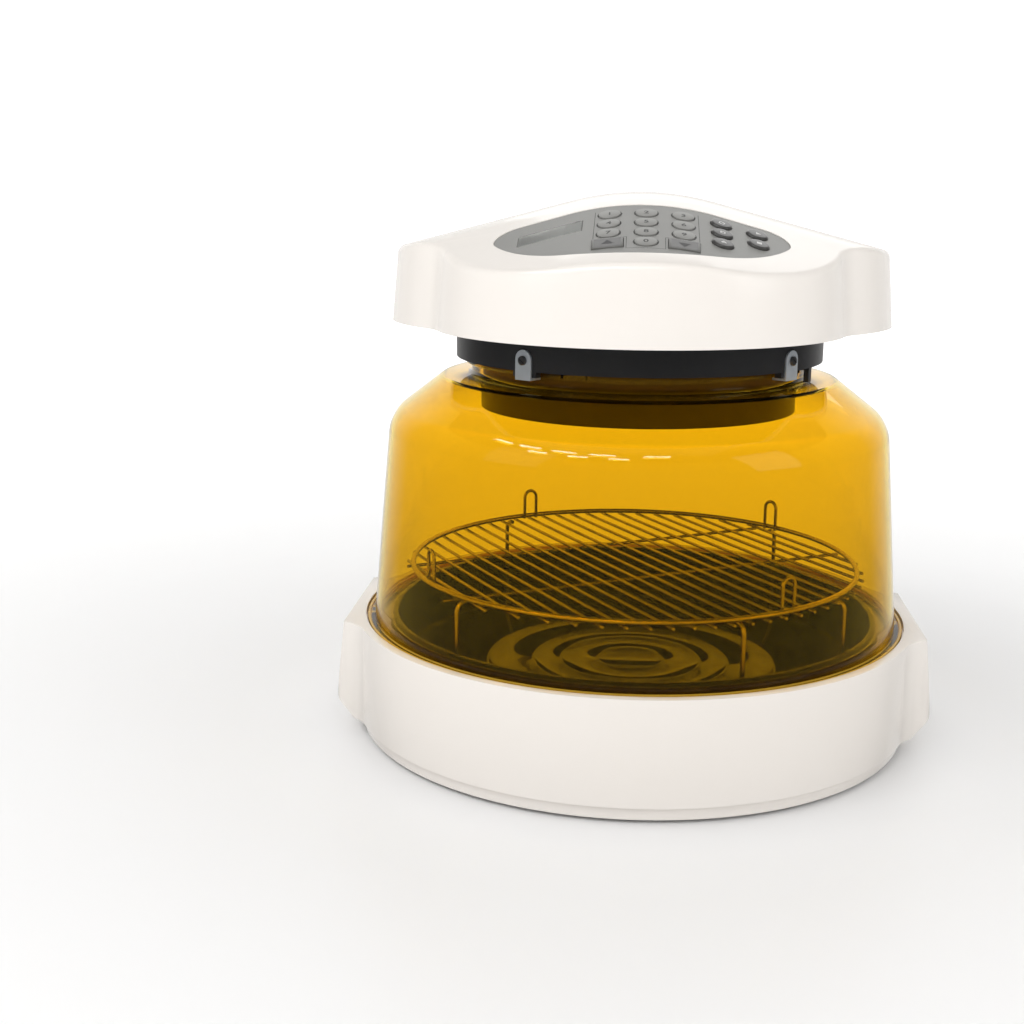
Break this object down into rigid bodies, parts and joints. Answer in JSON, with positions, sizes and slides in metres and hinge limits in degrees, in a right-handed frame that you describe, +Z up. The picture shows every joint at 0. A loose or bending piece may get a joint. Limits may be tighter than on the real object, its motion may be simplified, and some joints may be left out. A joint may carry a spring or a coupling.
{
  "type": "infrared countertop oven",
  "caption": "Round countertop oven: white base with pan and wire rack, amber dome, and a winged power head with a slanted keypad, a heater and fans that locks on top.",
  "frame": {"origin": "middle of the underside of the rubber feet, on the dome's turning axis", "axes": "+Z up, front with the control panel towards -Y, +X to the right hand of the machine seen from above with the front at the bottom"},
  "size_m": [0.3954, 0.379, 0.3595],
  "materials": {
    "white_shell": "smooth gloss warm white",
    "base_white": "smooth gloss warm white",
    "amber": "clear amber moulding, polished",
    "black_moulding": "satin black",
    "foot_rubber": "matte",
    "black_enamel": "gloss black enamel",
    "rack_chrome": "bright plated wire",
    "zinc": "zinc plated, dull sheen",
    "screw_steel": "dark plated steel",
    "panel_grey": "fine satin grey film",
    "key_grey": "satin grey",
    "key_dark": "dark grey, soft gloss",
    "membrane": "matte",
    "display_glass": "smoked window",
    "display_dark": "grey green display",
    "circuit": "green board",
    "aluminised": "aluminised sheet",
    "reflector_bright": "bright rolled sheet",
    "element_sheath": "dark oxidised sheath",
    "insulation": "pale pressed fibre board",
    "motor_steel": "laminated steel",
    "shaft_steel": "ground steel",
    "fan_sheet": "stamped sheet",
    "fan_plastic": "black nylon",
    "gland_plastic": "black nylon",
    "thermostat_body": "ceramic body",
    "terminal_white": "white nylon"
  },
  "bodies": {
    "base": {"base_tray": "base_white", "feet": "foot_rubber"},
    "pan": {"liner_pan": "black_enamel"},
    "rack": {"rack_hoop": "rack_chrome", "rack_bars": "rack_chrome", "rack_cross_bars": "rack_chrome", "rack_legs": "rack_chrome", "rack_loops": "rack_chrome"},
    "dome": {"dome": "amber"},
    "head": {"head_cover": "white_shell", "lower_housing": "black_moulding", "dome_locks": "zinc", "lock_screws": "screw_steel", "cover_screws": "screw_steel", "panel_overlay": "panel_grey", "key_membrane": "membrane", "display_window": "display_glass", "display_module": "display_dark", "control_board": "circuit", "heater_can": "aluminised", "can_guard": "rack_chrome", "reflector": "reflector_bright", "heating_element": "element_sheath", "element_clamps": "aluminised", "insulation_board": "insulation", "motor_bracket": "aluminised", "motor": "motor_steel", "cord_gland": "gland_plastic", "thermostat": "thermostat_body", "terminal_block": "terminal_white"},
    "fan_rotor": {"motor_shaft": "shaft_steel", "convection_fan": "fan_sheet", "cooling_fan": "fan_plastic"},
    "key_0_pad": {"key_0": "key_grey"},
    "key_1_pad": {"key_1": "key_grey"},
    "key_2_pad": {"key_2": "key_grey"},
    "key_3_pad": {"key_3": "key_grey"},
    "key_4_pad": {"key_4": "key_grey"},
    "key_5_pad": {"key_5": "key_grey"},
    "key_6_pad": {"key_6": "key_grey"},
    "key_7_pad": {"key_7": "key_grey"},
    "key_8_pad": {"key_8": "key_grey"},
    "key_9_pad": {"key_9": "key_grey"},
    "key_down_pad": {"key_down": "key_dark"},
    "key_up_pad": {"key_up": "key_dark"},
    "key_mode_1_pad": {"key_mode_1": "key_dark"},
    "key_mode_2_pad": {"key_mode_2": "key_dark"},
    "key_mode_3_pad": {"key_mode_3": "key_dark"},
    "key_run_1_pad": {"key_run_1": "key_dark"},
    "key_run_2_pad": {"key_run_2": "key_dark"}
  },
  "joints": [
    {"name": "pan_lift", "type": "slide", "parent": "base", "child": "pan", "axis": [0, 0, 1], "range_m": [0, 0.04]},
    {"name": "rack_lift", "type": "slide", "parent": "pan", "child": "rack", "axis": [0, 0, 1], "range_m": [0, 0.04]},
    {"name": "dome_lift", "type": "slide", "parent": "base", "child": "dome", "axis": [0, 0, 1], "range_m": [0, 0.18]},
    {"name": "head_twist", "type": "hinge", "parent": "dome", "child": "head", "pos_m": [0, 0, 0.2528], "axis": [0, 0, 1], "range_deg": [0, 15]},
    {"name": "fan_spin", "type": "hinge", "parent": "head", "child": "fan_rotor", "pos_m": [0, 0, 0.28], "axis": [0, 0, 1], "continuous": true},
    {"name": "key_0_press", "type": "slide", "parent": "head", "child": "key_0_pad", "axis": [-0.0161, 0.314, -0.9493], "range_m": [0, 0.0004], "stiffness_N_per_m": 900, "springref_m": -0.0004},
    {"name": "key_1_press", "type": "slide", "parent": "head", "child": "key_1_pad", "axis": [0.1086, 0.3121, -0.9438], "range_m": [0, 0.0004], "stiffness_N_per_m": 900, "springref_m": -0.0004},
    {"name": "key_2_press", "type": "slide", "parent": "head", "child": "key_2_pad", "axis": [-0.0161, 0.314, -0.9493], "range_m": [0, 0.0004], "stiffness_N_per_m": 900, "springref_m": -0.0004},
    {"name": "key_3_press", "type": "slide", "parent": "head", "child": "key_3_pad", "axis": [-0.1408, 0.3109, -0.94], "range_m": [0, 0.0004], "stiffness_N_per_m": 900, "springref_m": -0.0004},
    {"name": "key_4_press", "type": "slide", "parent": "head", "child": "key_4_pad", "axis": [0.1086, 0.3121, -0.9438], "range_m": [0, 0.0004], "stiffness_N_per_m": 900, "springref_m": -0.0004},
    {"name": "key_5_press", "type": "slide", "parent": "head", "child": "key_5_pad", "axis": [-0.0161, 0.314, -0.9493], "range_m": [0, 0.0004], "stiffness_N_per_m": 900, "springref_m": -0.0004},
    {"name": "key_6_press", "type": "slide", "parent": "head", "child": "key_6_pad", "axis": [-0.1408, 0.3109, -0.94], "range_m": [0, 0.0004], "stiffness_N_per_m": 900, "springref_m": -0.0004},
    {"name": "key_7_press", "type": "slide", "parent": "head", "child": "key_7_pad", "axis": [0.1086, 0.3121, -0.9438], "range_m": [0, 0.0004], "stiffness_N_per_m": 900, "springref_m": -0.0004},
    {"name": "key_8_press", "type": "slide", "parent": "head", "child": "key_8_pad", "axis": [-0.0161, 0.314, -0.9493], "range_m": [0, 0.0004], "stiffness_N_per_m": 900, "springref_m": -0.0004},
    {"name": "key_9_press", "type": "slide", "parent": "head", "child": "key_9_pad", "axis": [-0.1408, 0.3109, -0.94], "range_m": [0, 0.0004], "stiffness_N_per_m": 900, "springref_m": -0.0004},
    {"name": "key_down_press", "type": "slide", "parent": "head", "child": "key_down_pad", "axis": [-0.1408, 0.3109, -0.94], "range_m": [0, 0.0004], "stiffness_N_per_m": 900, "springref_m": -0.0004},
    {"name": "key_up_press", "type": "slide", "parent": "head", "child": "key_up_pad", "axis": [0.1086, 0.3121, -0.9438], "range_m": [0, 0.0004], "stiffness_N_per_m": 900, "springref_m": -0.0004},
    {"name": "key_mode_1_press", "type": "slide", "parent": "head", "child": "key_mode_1_pad", "axis": [-0.2554, 0.3036, -0.9179], "range_m": [0, 0.0004], "stiffness_N_per_m": 900, "springref_m": -0.0004},
    {"name": "key_mode_2_press", "type": "slide", "parent": "head", "child": "key_mode_2_pad", "axis": [-0.2554, 0.3036, -0.9179], "range_m": [0, 0.0004], "stiffness_N_per_m": 900, "springref_m": -0.0004},
    {"name": "key_mode_3_press", "type": "slide", "parent": "head", "child": "key_mode_3_pad", "axis": [-0.2554, 0.3036, -0.9179], "range_m": [0, 0.0004], "stiffness_N_per_m": 900, "springref_m": -0.0004},
    {"name": "key_run_1_press", "type": "slide", "parent": "head", "child": "key_run_1_pad", "axis": [-0.2554, 0.3036, -0.9179], "range_m": [0, 0.0004], "stiffness_N_per_m": 900, "springref_m": -0.0004},
    {"name": "key_run_2_press", "type": "slide", "parent": "head", "child": "key_run_2_pad", "axis": [-0.2554, 0.3036, -0.9179], "range_m": [0, 0.0004], "stiffness_N_per_m": 900, "springref_m": -0.0004}
  ]
}
